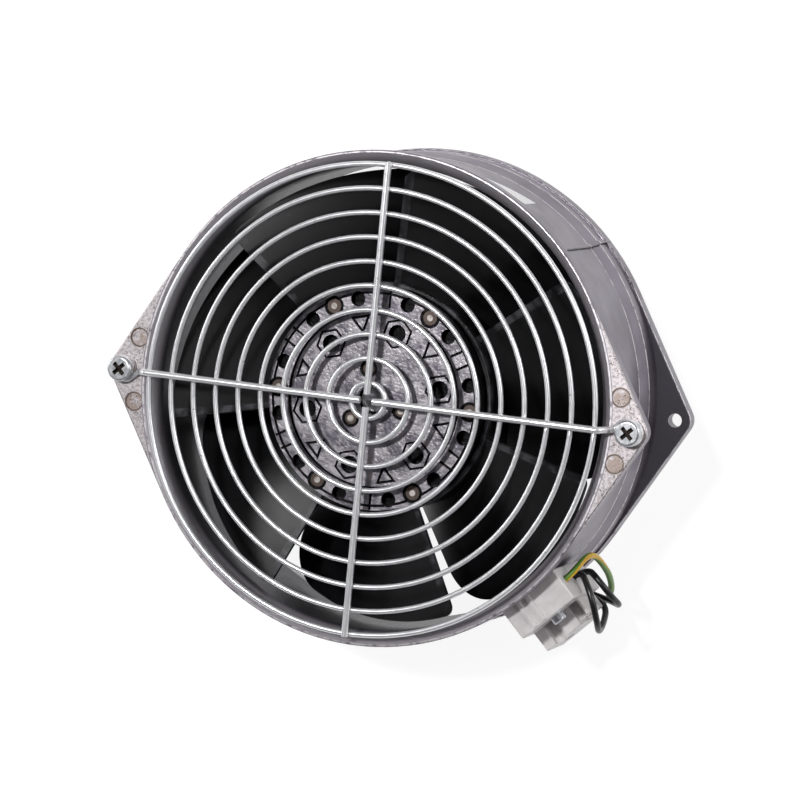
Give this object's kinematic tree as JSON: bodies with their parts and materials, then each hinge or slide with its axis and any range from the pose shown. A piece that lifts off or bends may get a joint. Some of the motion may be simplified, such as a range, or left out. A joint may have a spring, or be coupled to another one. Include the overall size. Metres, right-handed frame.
{
  "type": "axial fan",
  "caption": "Mains axial fan: cast round housing with ears, outer rotor motor on struts, twisted sheet metal blades, wire finger guard and a terminal strip with leads.",
  "frame": {"origin": "centre of the housing on its rear mounting face, midway between the two rear ear holes", "axes": "+Z along the shaft from the rear face to the guard, +X towards an ear, the terminal strip lies between +X and -Y"},
  "size_m": [0.172, 0.15, 0.0616],
  "materials": {
    "cast_aluminium": "die cast, grey lacquered skin with a bare speckled front",
    "lacquered_casting": "die cast and turned, under a thin clear lacquer",
    "black_painted_steel": "glossy black stoved paint over sheet steel",
    "plated_wire": "bright plated steel wire, spot welded",
    "zinc_steel": "zinc plated, slightly blue",
    "plated_steel": "plain plated steel",
    "spring_steel": "hardened spring steel",
    "bearing_steel": "ground and polished steel",
    "core_steel": "stacked electrical sheet",
    "enamelled_copper": "wound enamelled copper wire",
    "insulator_plastic": "moulded natural plastic",
    "white_plastic": "moulded milky white plastic",
    "clamp_brass": "turned and tapped brass",
    "grommet_rubber": "black rubber",
    "green_yellow_lead": "smooth sleeve, green with yellow stripes",
    "black_lead": "smooth black sleeve"
  },
  "bodies": {
    "frame": {"housing": "cast_aluminium", "stator_flange": "cast_aluminium", "bearing_cap": "plated_steel", "flange_screws": "zinc_steel", "rear_bearing_outer_ring": "bearing_steel", "rear_bearing_balls": "bearing_steel", "front_bearing_outer_ring": "bearing_steel", "front_bearing_balls": "bearing_steel", "stator_core": "core_steel", "rear_insulator": "insulator_plastic", "front_insulator": "insulator_plastic", "windings": "enamelled_copper", "preload_spring": "spring_steel", "wire_guard": "plated_wire", "guard_screws": "zinc_steel", "terminal_strip": "white_plastic", "terminal_clamps": "clamp_brass", "clamp_screws": "zinc_steel", "fixing_screw": "zinc_steel", "lead_grommet": "grommet_rubber", "earth_tag": "plated_steel", "earth_screw": "zinc_steel", "earth_lead": "green_yellow_lead", "black_lead_1": "black_lead", "black_lead_2": "black_lead"},
    "rotor": {"rotor_core": "core_steel", "rotor_casting": "lacquered_casting", "shaft": "bearing_steel", "circlip": "spring_steel", "thrust_washer": "plated_steel", "rear_bearing_inner_ring": "bearing_steel", "front_bearing_inner_ring": "bearing_steel", "rotor_pins": "plated_steel", "face_rivets": "plated_steel", "impeller_ring": "black_painted_steel", "blade_1": "black_painted_steel", "blade_2": "black_painted_steel", "blade_3": "black_painted_steel", "blade_4": "black_painted_steel", "blade_5": "black_painted_steel", "blade_6": "black_painted_steel", "blade_7": "black_painted_steel"}
  },
  "joints": [
    {"name": "rotor_spin", "type": "hinge", "parent": "frame", "child": "rotor", "pos_m": [0, 0, 0], "axis": [0, 0, 1], "continuous": true}
  ]
}
